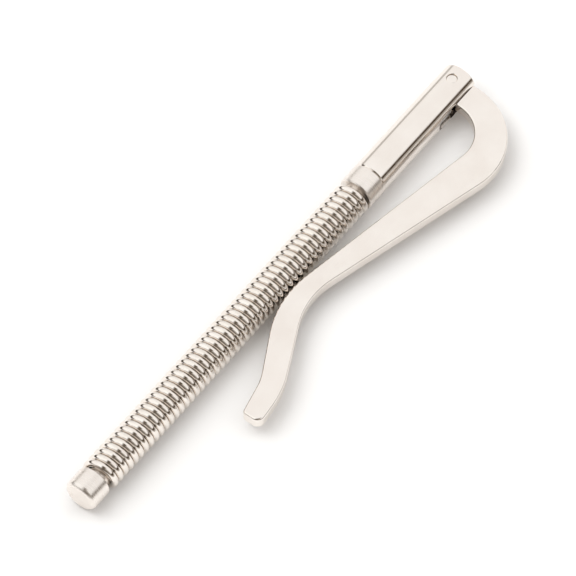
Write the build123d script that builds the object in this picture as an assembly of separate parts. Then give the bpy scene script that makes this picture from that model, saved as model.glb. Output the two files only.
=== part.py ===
from build123d import *
import os
from math import acos, atan2, cos, hypot, radians, sin, sqrt

# Spring clip bar for the spine of a bifold wallet, in millimetres.
# The bar lies along X, from the end cap's outer face at the origin to the slotted head at the far end.
# Z is the hinge pin's axis. The clip arm lies flat in the plane Z = 0, on the -Y side of the bar.
# A close-wound spring ties the end cap to the collar. Opening the arm turns an eccentric heel, which
# pushes the follower, the rod and the cap outwards and stretches the spring, so the arm shuts by itself.

# ---- driving dimensions -------------------------------------------------------------------------
# lengths along the bar, end cap to open end
cap_length = 3.3
coil_length = 53.9
collar_length = 3.0
sleeve_length = 20.0

# end cap
cap_radius = 2.3
cap_crown = 0.65
cap_floor = 1.6

# spring
coil_radius = 2.48
wire_diameter = 0.98
turn_gap = 0.056
coil_end_gap = 0.04

# spigots that the spring's end turns grip, on the cap and on the collar
spigot_length = 4.2
spigot_clearance = 0.03

# rod and follower
rod_radius = 0.9
follower_length = 6.5
nose_radius = 1.1
nose_length = 1.4
nose_seat = 2.2

# collar and head sleeve
sleeve_radius = 2.5
sleeve_wall = 0.4
sleeve_rim = 0.2
collar_plug_length = 4.0
joint_chamfer = 0.15

# slot in the head sleeve, open at the head's end
slot_length = 8.1

# hinge
hinge_setback = 2.1
pin_radius = 0.75
pin_recess = 0.2
pin_dome = 0.15
pin_countersink = 0.06

# eccentric heel of the clip arm: the thinnest wall round the pin's hole, and which way the
# heel is offset from the hinge while the arm is shut, in degrees from +X towards +Y
heel_wall = 0.34
heel_direction = 45.0

# clip arm, measured from the hinge axis: x is positive towards the open end
arm_thickness = 1.8
arm_edge_round = 0.3
elbow_reach = 12.45
elbow_outer_radius = 9.6
root_inner = 2.07
hook_reach = 7.7
hook_radius = 5.1
neck_radius = 0.5
neck_height = 2.1
waist_inner_x = 37.7
waist_inner_radius = 15.0
waist_outer_x = 36.6
waist_outer_radius = 11.5
waist_width = 2.9
foot_inner_x = 53.8
foot_inner_depth = 8.05
foot_inner_radius = 8.0
foot_outer_x = 54.5
foot_depth = 11.3
foot_outer_radius = 14.0
tip_x = 56.3
tip_inner_depth = 8.65
tip_inner_radius = 0.6
tip_outer_depth = 11.45
tip_outer_radius = 1.05

# clearances
running_clearance = 0.03
slide_clearance = 0.05
slot_clearance = 0.1
heel_clearance = 0.02
root_clearance = 0.1
arm_to_coil = 0.05
follower_gap = 0.02

# ---- sizes that follow from the fits ------------------------------------------------------------
sleeve_bore = sleeve_radius - sleeve_wall
slot_width = arm_thickness + 2 * slot_clearance
coil_inner_radius = coil_radius - wire_diameter
spigot_radius = coil_inner_radius - spigot_clearance

# the arm turns inside the bore: this is how far from the hinge its full thickness can reach, and
# the heel's offset takes up what the pin, its wall and its clearance leave of that reach
arm_reach = sqrt(sleeve_bore ** 2 - (arm_thickness / 2) ** 2)
heel_eye = pin_radius + running_clearance + heel_wall
heel_offset = (arm_reach - heel_clearance - heel_eye) / 2
heel_radius = heel_eye + heel_offset
heel_x = heel_offset * cos(radians(heel_direction))
heel_y = heel_offset * sin(radians(heel_direction))
root_outer = arm_reach - root_clearance

# ---- stations along the bar ---------------------------------------------------------------------
cap_face = cap_length
collar_face = cap_face + coil_length
sleeve_start = collar_face + collar_length
sleeve_end = sleeve_start + sleeve_length
hinge_x = sleeve_end - hinge_setback
follower_face = hinge_x + heel_x - heel_radius - follower_gap


def rod_along_x(radius, start, end):
    """A round bar on the X axis from start to end."""
    return Plane.YZ.offset(start) * extrude(Circle(radius), end - start)


def end_cap():
    cap = rod_along_x(cap_radius, 0, cap_face)
    cap = fillet(cap.edges().sort_by(Axis.X)[0], cap_crown)
    cap = chamfer(cap.edges().sort_by(Axis.X)[-1], joint_chamfer)
    cap += rod_along_x(spigot_radius, cap_face, cap_face + spigot_length)
    return cap - rod_along_x(rod_radius, cap_floor, cap_face + spigot_length)


def coil_spring():
    """Round wire wound right-handed, its turns almost touching and its first end underneath."""
    start = cap_face + coil_end_gap + wire_diameter / 2
    height = coil_length - wire_diameter - 2 * coil_end_gap
    helix = Helix(wire_diameter + turn_gap, height, coil_radius - wire_diameter / 2,
                  center=(start, 0, 0), direction=(1, 0, 0))
    section = Plane(helix @ 0, z_dir=helix % 0) * Circle(wire_diameter / 2)
    return Rot(180, 0, 0) * sweep(section, path=helix, is_frenet=True)


def push_rod():
    return rod_along_x(rod_radius, cap_floor, follower_face - nose_seat)


def follower():
    """Guided in the sleeve's bore; its narrow nose bears on the arm's heel."""
    back = follower_face - follower_length
    body = rod_along_x(sleeve_bore - slide_clearance, back, follower_face - nose_length)
    body = chamfer(body.edges().filter_by(GeomType.CIRCLE), joint_chamfer)
    body += rod_along_x(nose_radius, follower_face - nose_length, follower_face)
    return body - rod_along_x(rod_radius, back, follower_face - nose_seat)


def collar():
    ring = rod_along_x(sleeve_radius, collar_face, sleeve_start)
    ring = chamfer(ring.edges().filter_by(GeomType.CIRCLE), joint_chamfer)
    ring += rod_along_x(spigot_radius, collar_face - spigot_length, collar_face)
    ring += rod_along_x(sleeve_bore, sleeve_start, sleeve_start + collar_plug_length)
    bore = rod_along_x(rod_radius + slide_clearance, collar_face - spigot_length,
                       sleeve_start + collar_plug_length)
    return ring - bore


def on_hinge_axis(radius, length):
    """A round bar centred on the hinge, along its axis."""
    return Pos(hinge_x, 0, 0) * Cylinder(radius, length)


def arm_slot():
    """Cut for the arm through the -Y wall, from a round closed end out past the open end."""
    end_radius = slot_width / 2
    depth = 2 * sleeve_radius
    slot = Pos(slot_length / 2, 0, 0) * Box(slot_length, depth, slot_width)
    slot += Rot(90, 0, 0) * Cylinder(end_radius, depth)
    return Pos(sleeve_end - slot_length + end_radius, -depth / 2, 0) * slot


def countersink():
    """A 45-degree cone at the upper mouth of the pin's hole, half of it clear above the sleeve."""
    height = 2 * pin_countersink
    return Pos(hinge_x, 0, sleeve_radius) * Cone(pin_radius, pin_radius + height, height)


def head_sleeve():
    sleeve = rod_along_x(sleeve_radius, sleeve_start, sleeve_end)
    sleeve = chamfer(sleeve.edges().sort_by(Axis.X)[0], joint_chamfer)
    sleeve = fillet(sleeve.edges().sort_by(Axis.X)[-1], sleeve_rim)
    sleeve -= rod_along_x(sleeve_bore, sleeve_start, sleeve_end)
    sleeve -= arm_slot()
    sleeve -= on_hinge_axis(pin_radius, 2 * sleeve_radius)
    return sleeve - countersink() - mirror(countersink(), about=Plane.XY)


def hinge_pin():
    pin = on_hinge_axis(pin_radius, 2 * (sleeve_radius - pin_recess))
    return fillet(pin.edges().filter_by(GeomType.CIRCLE), pin_dome)


def tangent_points(first, second):
    """Where the straight run between two circles touches them. Circles are (x, y, r), with r
    positive where the path turns left round the centre and negative where it turns right."""
    dx, dy = second[0] - first[0], second[1] - first[1]
    across = atan2(dy, dx) + acos((second[2] - first[2]) / hypot(dx, dy))
    normal = (cos(across), sin(across))
    return [(x - r * normal[0], y - r * normal[1]) for x, y, r in (first, second)]


def belt(circles):
    """Edges of a path that runs round each circle in turn, joined by straight tangents."""
    runs = [tangent_points(a, b) for a, b in zip(circles, circles[1:])]
    edges = [Line(*run) for run in runs]
    for (x, y, r), before, after in zip(circles[1:-1], runs, runs[1:]):
        start, end = before[1], after[0]
        mx, my = start[0] + end[0] - 2 * x, start[1] + end[1] - 2 * y
        middle = (x + abs(r) * mx / hypot(mx, my), y + abs(r) * my / hypot(mx, my))
        edges.append(ThreePointArc(start, middle, end))
    return edges


def arm_outline():
    """Outline of the clip arm about the hinge: down the outside, round the tip, back up the inside."""
    contact = coil_radius + arm_to_coil
    heel_side = (heel_x + heel_radius, heel_y, 0)
    heel_inside = (-heel_radius / 2, -heel_radius / 2, 0)
    return belt([
        heel_side,
        (root_outer - elbow_outer_radius, elbow_outer_radius - elbow_reach, -elbow_outer_radius),
        (-waist_outer_x, -contact - waist_width - waist_outer_radius, waist_outer_radius),
        (-foot_outer_x, foot_outer_radius - foot_depth, -foot_outer_radius),
        (tip_outer_radius - tip_x, tip_outer_radius - tip_outer_depth, -tip_outer_radius),
        (tip_inner_radius - tip_x, -tip_inner_depth - tip_inner_radius, -tip_inner_radius),
        (-foot_inner_x, foot_inner_radius - foot_inner_depth, foot_inner_radius),
        (-waist_inner_x, -contact - waist_inner_radius, -waist_inner_radius),
        (-root_inner - hook_radius, hook_radius - hook_reach, hook_radius),
        (-root_inner + neck_radius, -neck_height, -neck_radius),
        heel_inside,
    ]) + [Line(heel_inside[:2], heel_side[:2])]


def clip_arm():
    profile = make_face(arm_outline()) + Pos(heel_x, heel_y) * Circle(heel_radius)
    plate = extrude(profile, arm_thickness / 2, both=True)
    flat_edges = plate.edges().group_by(Axis.Z)
    plate = fillet(flat_edges[0] + flat_edges[-1], arm_edge_round)
    return Pos(hinge_x, 0, 0) * plate - on_hinge_axis(pin_radius + running_clearance, 2 * arm_thickness)


# ---- one file for each piece --------------------------------------------------------------------
os.makedirs("parts", exist_ok=True)
for make in (end_cap, coil_spring, push_rod, follower, collar, head_sleeve, hinge_pin, clip_arm):
    export_step(make(), f"parts/{make.__name__}.step")
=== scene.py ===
from math import cos, radians, sin, tau

import bpy
from mathutils import Matrix, Vector


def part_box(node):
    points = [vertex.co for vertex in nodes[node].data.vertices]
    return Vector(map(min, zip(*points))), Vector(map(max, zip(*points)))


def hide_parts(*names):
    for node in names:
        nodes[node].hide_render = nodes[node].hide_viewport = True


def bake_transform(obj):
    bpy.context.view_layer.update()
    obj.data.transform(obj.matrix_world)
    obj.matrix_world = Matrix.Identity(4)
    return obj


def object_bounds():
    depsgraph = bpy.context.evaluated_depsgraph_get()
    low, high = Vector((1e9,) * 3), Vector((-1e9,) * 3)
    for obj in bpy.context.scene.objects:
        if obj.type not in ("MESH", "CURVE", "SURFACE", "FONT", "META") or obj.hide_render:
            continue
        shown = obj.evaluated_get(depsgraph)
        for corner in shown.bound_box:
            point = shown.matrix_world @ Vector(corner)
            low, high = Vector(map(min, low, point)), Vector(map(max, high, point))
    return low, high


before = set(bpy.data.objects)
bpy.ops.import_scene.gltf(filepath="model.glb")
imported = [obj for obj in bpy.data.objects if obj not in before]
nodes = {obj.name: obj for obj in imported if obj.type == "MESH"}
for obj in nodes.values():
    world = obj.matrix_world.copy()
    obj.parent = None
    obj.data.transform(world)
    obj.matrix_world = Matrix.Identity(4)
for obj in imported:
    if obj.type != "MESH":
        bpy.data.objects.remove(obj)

# Spring clip bar on a pale floor. Metres, in the CAD's own frame: the bar lies along X, the hinge pin
# is parallel to Z and the clip arm lies on the -Y side.

MM = 0.001
MICRON = 0.000001
cad_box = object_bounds()

# ---- metal colours: the bright tone and the deeper tone of its clouding -------------------------
NICKEL = (0.91, 0.86, 0.81)
NICKEL_DEEP = (0.86, 0.80, 0.745)
WIRE = (0.90, 0.85, 0.80)
WIRE_DEEP = (0.83, 0.77, 0.71)
STEEL = (0.56, 0.545, 0.53)
STEEL_DEEP = (0.44, 0.425, 0.41)

# ---- noise: the stretch of its space, and the middle range of its values that is used -----------
EVEN = (1, 1, 1)
HAIRLINES = (1, 9, 2)
RINGS_ROUND_BAR = (1, 0.02, 0.02)
LINES_ALONG_WIRE = (4, 60, 1)
NOISE_ROUGHNESS = 0.55
NOISE_LOW, NOISE_HIGH = 0.3, 0.7

# ---- spring, as it is wound: its first end is underneath ----------------------------------------
WIRE_RADIUS = 0.49 * MM
TURN_GAP = 0.056 * MM
WIRE_SIDES = 28
STEPS_PER_TURN = 72
START_ANGLE = radians(-90)
CUT_CHAMFER = 0.05 * MM

# ---- camera -------------------------------------------------------------------------------------
AIM = Vector((40.51, -1.79, 0)) * MM
CAMERA_AZIMUTH = radians(-53.04)
CAMERA_ELEVATION = radians(56.69)
CAMERA_ROLL = radians(0.25)
CAMERA_DISTANCE = 0.6861
LENS = 337.2
SENSOR_WIDTH = 36
CLIP_START, CLIP_END = 0.01, 20

# ---- floor --------------------------------------------------------------------------------------
FLOOR_SIZE = 6.0
FLOOR_COLOUR = (0.86, 0.855, 0.85)
FLOOR_ROUGHNESS = 0.9
FLOOR_SPECULAR = 0.1

# ---- room: what the metal mirrors ---------------------------------------------------------------
ROOM_BASE = (0.42, 0.385, 0.345)
WHITE = (1.02, 1.01, 1.0)
BRIGHT_WHITE = (1.12, 1.12, 1.11)
GREY = (0.60, 0.58, 0.55)
BROWN = (0.14, 0.115, 0.09)
DEEP_BROWN = (0.13, 0.105, 0.08)
DARK = (0.07, 0.055, 0.045)
DARKEST = (0.06, 0.04, 0.025)
ROOM_PATCHES = [
    # tone, reach along X, degrees round the bar from straight up towards -Y, softness of its sides
    (DEEP_BROWN, (-0.95, 0.25), (4, 21), 0.06),
    (BROWN, (-0.93, -0.60), (15, 75), 0.08),
    (WHITE, (-0.14, 1.2), (23, 64), 0.06),
    (WHITE, (0.24, 1.2), (-74, 64), 0.06),
    (BRIGHT_WHITE, (-0.85, 0.26), (-72, -1), 0.05),
    (DARK, (-1.2, 0.33), (-112, -75), 0.05),
    (GREY, (0.33, 1.2), (-110, -77), 0.10),
    (DARKEST, (-0.45, 1.2), (68, 80), 0.04),
    (DARK, (-1.2, -0.93), (-180, 180), 0.03),
]

# ---- softboxes ----------------------------------------------------------------------------------
LIGHT_DISTANCE = 0.9
KEY_DIRECTION = Vector((-0.2, 0.56, 0.80))
KEY_SIZE = 0.7
KEY_POWER = 2.8
FILL_DIRECTION = Vector((-0.2, -0.25, 0.95))
FILL_SIZE = 1.6
FILL_POWER = 4.6


# ---- node helpers -------------------------------------------------------------------------------
def new_material(name):
    material = bpy.data.materials.new(name)
    material.use_nodes = True
    tree = material.node_tree
    return material, tree, tree.nodes["Principled BSDF"]


def add(tree, kind, **values):
    """A node of this kind, with its settings and its sockets' values given by name."""
    node = tree.nodes.new(kind)
    for key, value in values.items():
        if hasattr(node, key):
            setattr(node, key, value)
        else:
            node.inputs[key.replace("_", " ")].default_value = value
    return node


def noise(tree, stretch, scale, detail, space="Object"):
    """Noise in the object's or the UV map's space, stretched by the three factors."""
    source = add(tree, "ShaderNodeTexCoord")
    mapping = add(tree, "ShaderNodeMapping", Scale=stretch)
    node = add(tree, "ShaderNodeTexNoise", Scale=scale, Detail=detail, Roughness=NOISE_ROUGHNESS)
    tree.links.new(source.outputs[space], mapping.inputs["Vector"])
    tree.links.new(mapping.outputs["Vector"], node.inputs["Vector"])
    return node.outputs["Fac"]


def spread(tree, value, low, high, start=NOISE_LOW, end=NOISE_HIGH):
    """Maps start..end onto low..high, and holds the value at low and high beyond them."""
    node = add(tree, "ShaderNodeMapRange", From_Min=start, From_Max=end, To_Min=low, To_Max=high)
    tree.links.new(value, node.inputs["Value"])
    return node.outputs["Result"]


def two_tones(tree, value, first, second):
    ramp = add(tree, "ShaderNodeValToRGB")
    for element, colour, place in zip(ramp.color_ramp.elements, (first, second),
                                      (NOISE_LOW, NOISE_HIGH)):
        element.color = (*colour, 1)
        element.position = place
    tree.links.new(value, ramp.inputs["Fac"])
    return ramp.outputs["Color"]


def bumps(tree, shader, layers):
    """Stacks bump layers, each a height with its strength and depth in metres."""
    normal = None
    for height, strength, depth in layers:
        node = add(tree, "ShaderNodeBump", Strength=strength, Distance=depth)
        tree.links.new(height, node.inputs["Height"])
        if normal is not None:
            tree.links.new(normal, node.inputs["Normal"])
        normal = node.outputs["Normal"]
    tree.links.new(normal, shader.inputs["Normal"])


def product(tree, first, second):
    node = add(tree, "ShaderNodeMath", operation="MULTIPLY")
    tree.links.new(first, node.inputs[0])
    tree.links.new(second, node.inputs[1])
    return node.outputs["Value"]


def window(tree, value, low, high, soft):
    """1 where the value lies between low and high, fading to 0 across each side."""
    rise = spread(tree, value, 0, 1, low - soft, low + soft)
    fall = spread(tree, value, 1, 0, high - soft, high + soft)
    return product(tree, rise, fall)


# ---- materials ----------------------------------------------------------------------------------
def metal(name, tones, cloud, marks, roughness):
    """A metal with a clouded colour, whose marks make its gloss vary between two roughnesses.
    Each of cloud and marks is a function that adds its noise to the material's nodes."""
    material, tree, shader = new_material(name)
    shader.inputs["Metallic"].default_value = 1.0
    clouding, marking = cloud(tree), marks(tree)
    tree.links.new(two_tones(tree, clouding, *tones), shader.inputs["Base Color"])
    tree.links.new(spread(tree, marking, *roughness), shader.inputs["Roughness"])
    return material, tree, shader, clouding, marking


def polished_nickel():
    """Tumbled and plated: bright, with faint waves, clouding, fine grain and hairline scratches."""
    material, tree, shader, cloud, hairs = metal(
        "nickel_polished", (NICKEL_DEEP, NICKEL),
        cloud=lambda tree: noise(tree, EVEN, scale=220, detail=3),
        marks=lambda tree: noise(tree, HAIRLINES, scale=900, detail=2),
        roughness=(0.07, 0.17))
    grain = noise(tree, EVEN, scale=2600, detail=4)
    bumps(tree, shader, [(cloud, 0.25, 20 * MICRON), (grain, 0.06, 4 * MICRON),
                         (hairs, 0.05, 4 * MICRON)])
    return material


def satin_nickel():
    """Turned and plated: fine rings round the bar's axis."""
    material, tree, shader, cloud, rings = metal(
        "nickel_satin", (NICKEL_DEEP, NICKEL),
        cloud=lambda tree: noise(tree, EVEN, scale=500, detail=3),
        marks=lambda tree: noise(tree, RINGS_ROUND_BAR, scale=9000, detail=3),
        roughness=(0.24, 0.36))
    bumps(tree, shader, [(rings, 0.45, 10 * MICRON), (cloud, 0.1, 10 * MICRON)])
    return material


def drawn_wire():
    """Bright plated wire with draw lines along its length."""
    material, tree, shader, cloud, lines = metal(
        "spring_wire", (WIRE_DEEP, WIRE),
        cloud=lambda tree: noise(tree, EVEN, scale=700, detail=3),
        marks=lambda tree: noise(tree, LINES_ALONG_WIRE, scale=1.0, detail=3, space="UV"),
        roughness=(0.06, 0.15))
    bumps(tree, shader, [(lines, 0.12, 6 * MICRON), (cloud, 0.1, 10 * MICRON)])
    return material


def plain_steel():
    """Turned steel with a film of oil."""
    material, tree, shader, _, rings = metal(
        "plain_steel", (STEEL_DEEP, STEEL),
        cloud=lambda tree: noise(tree, EVEN, scale=600, detail=4),
        marks=lambda tree: noise(tree, RINGS_ROUND_BAR, scale=6000, detail=3),
        roughness=(0.2, 0.38))
    bumps(tree, shader, [(rings, 0.25, 10 * MICRON)])
    return material


# ---- spring -------------------------------------------------------------------------------------
def wire_rings(low, high):
    """Rings of points round the wire, with the angle that each is turned to about the bar. The
    first and last rings are smaller, and with the rings next to them make the chamfered ends."""
    wind_radius = high.y - WIRE_RADIUS
    pitch = 2 * WIRE_RADIUS + TURN_GAP
    start = low.x + WIRE_RADIUS
    turns = (high.x - low.x - 2 * WIRE_RADIUS) / pitch
    steps = round(turns * STEPS_PER_TURN)
    rise = pitch / tau
    slope = (wind_radius ** 2 + rise ** 2) ** 0.5
    points, angles = [], []

    def ring(turned, radius, along):
        outwards = Vector((0, cos(turned), sin(turned)))
        forwards = Vector((rise, -wind_radius * sin(turned), wind_radius * cos(turned))) / slope
        across = forwards.cross(outwards)
        on_axis = Vector((start + rise * (turned - START_ANGLE), 0, 0))
        centre = on_axis + outwards * wind_radius + forwards * along
        angles.append(turned)
        for side in range(WIRE_SIDES):
            a = tau * side / WIRE_SIDES
            points.append(centre + (outwards * cos(a) + across * sin(a)) * radius)

    ring(START_ANGLE, WIRE_RADIUS - CUT_CHAMFER, 0)
    for step in range(steps + 1):
        inset = CUT_CHAMFER if step == 0 else -CUT_CHAMFER if step == steps else 0
        ring(START_ANGLE + tau * turns * step / steps, WIRE_RADIUS, inset)
    ring(START_ANGLE + tau * turns, WIRE_RADIUS - CUT_CHAMFER, 0)
    return points, angles


def add_wire_uv(mesh, angles):
    """U is the angle turned along the wire, V goes once round it."""
    layer = mesh.uv_layers.new(name="UVMap")
    for polygon in mesh.polygons:
        sides = [vertex % WIRE_SIDES for vertex in polygon.vertices]
        wraps = max(sides) - min(sides) > WIRE_SIDES / 2
        for loop, side in zip(polygon.loop_indices, sides):
            around = side + WIRE_SIDES if wraps and side < WIRE_SIDES / 2 else side
            turned = angles[mesh.loops[loop].vertex_index // WIRE_SIDES]
            layer.data[loop].uv = (turned, around / WIRE_SIDES)


def spring_wire_piece(material):
    """Round wire in close turns, with its cut ends chamfered, over the CAD spring's length."""
    points, angles = wire_rings(*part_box("coil_spring"))
    faces = []
    for first in range(0, len(points) - WIRE_SIDES, WIRE_SIDES):
        for side in range(WIRE_SIDES):
            a, b = first + side, first + (side + 1) % WIRE_SIDES
            faces.append((a, b, b + WIRE_SIDES, a + WIRE_SIDES))
    faces.append(tuple(reversed(range(WIRE_SIDES))))
    faces.append(tuple(range(len(points) - WIRE_SIDES, len(points))))
    mesh = bpy.data.meshes.new("spring_coil")
    mesh.from_pydata(points, [], faces)
    mesh.update()
    mesh.materials.append(material)
    mesh.shade_smooth()
    add_wire_uv(mesh, angles)
    piece = bpy.data.objects.new("spring_coil", mesh)
    bpy.context.scene.collection.objects.link(piece)
    return piece


# ---- stage --------------------------------------------------------------------------------------
def camera():
    back = Vector((sin(CAMERA_AZIMUTH) * cos(CAMERA_ELEVATION),
                   -cos(CAMERA_AZIMUTH) * cos(CAMERA_ELEVATION), sin(CAMERA_ELEVATION)))
    data = bpy.data.cameras.new("camera")
    data.lens = LENS
    data.sensor_width = SENSOR_WIDTH
    data.clip_start, data.clip_end = CLIP_START, CLIP_END
    eye = bpy.data.objects.new("camera", data)
    place = Matrix.Translation(AIM + back * CAMERA_DISTANCE)
    turn = (-back).to_track_quat("-Z", "Y").to_matrix().to_4x4()
    eye.matrix_world = place @ turn @ Matrix.Rotation(CAMERA_ROLL, 4, "Z")
    bpy.context.scene.collection.objects.link(eye)
    bpy.context.scene.camera = eye


def floor(height):
    half = FLOOR_SIZE / 2
    mesh = bpy.data.meshes.new("floor")
    mesh.from_pydata([(-half, -half, height), (half, -half, height), (half, half, height),
                      (-half, half, height)], [], [(0, 1, 2, 3)])
    material, _, shader = new_material("floor")
    shader.inputs["Base Color"].default_value = (*FLOOR_COLOUR, 1)
    shader.inputs["Roughness"].default_value = FLOOR_ROUGHNESS
    shader.inputs["Specular IOR Level"].default_value = FLOOR_SPECULAR
    mesh.materials.append(material)
    plane = bpy.data.objects.new("floor", mesh)
    bpy.context.scene.collection.objects.link(plane)


def softbox(name, direction, size, power):
    """A soft light that shows on the floor alone: what the metal mirrors is the room."""
    data = bpy.data.lights.new(name, "AREA")
    data.size = size
    data.energy = power
    light = bpy.data.objects.new(name, data)
    light.location = AIM + direction.normalized() * LIGHT_DISTANCE
    light.rotation_mode = "QUATERNION"
    light.rotation_quaternion = direction.to_track_quat("Z", "Y")
    light.visible_glossy = False
    bpy.context.scene.collection.objects.link(light)


def room():
    """The studio round the bar, as patches of tone. Each patch has its reach along the bar, as the
    X part of a direction, and its reach round the bar, in degrees from straight up towards -Y."""
    world = bpy.data.worlds.new("room")
    world.use_nodes = True
    bpy.context.scene.world = world
    tree = world.node_tree
    parts = add(tree, "ShaderNodeSeparateXYZ")
    tree.links.new(add(tree, "ShaderNodeTexCoord").outputs["Generated"], parts.inputs["Vector"])
    sideways = add(tree, "ShaderNodeMath", operation="MULTIPLY")
    sideways.inputs[1].default_value = -1
    tree.links.new(parts.outputs["Y"], sideways.inputs[0])
    around = add(tree, "ShaderNodeMath", operation="ARCTAN2")
    tree.links.new(sideways.outputs["Value"], around.inputs[0])
    tree.links.new(parts.outputs["Z"], around.inputs[1])
    tone = None
    for colour, along, turn, soft in ROOM_PATCHES:
        here = product(tree, window(tree, parts.outputs["X"], *along, soft),
                       window(tree, around.outputs["Value"], *map(radians, turn), soft))
        mixed = add(tree, "ShaderNodeMix", data_type="RGBA")
        mixed.inputs["A"].default_value = (*ROOM_BASE, 1)
        mixed.inputs["B"].default_value = (*colour, 1)
        tree.links.new(here, mixed.inputs["Factor"])
        if tone is not None:
            tree.links.new(tone, mixed.inputs["A"])
        tone = mixed.outputs["Result"]
    tree.links.new(tone, tree.nodes["Background"].inputs["Color"])


def main():
    polished, satin = polished_nickel(), satin_nickel()
    wire, steel = drawn_wire(), plain_steel()
    finishes = {"head_sleeve": polished, "clip_arm": polished, "hinge_pin": polished,
                "collar": satin, "end_cap": satin, "push_rod": steel, "follower": steel}
    for name, material in finishes.items():
        nodes[name].data.materials.clear()
        nodes[name].data.materials.append(material)
    coil = spring_wire_piece(wire)
    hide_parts("coil_spring")
    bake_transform(coil)
    camera()
    floor(cad_box[0].z)
    room()
    softbox("key", KEY_DIRECTION, KEY_SIZE, KEY_POWER)
    softbox("fill", FILL_DIRECTION, FILL_SIZE, FILL_POWER)
    bpy.context.scene.view_settings.view_transform = "Standard"


main()
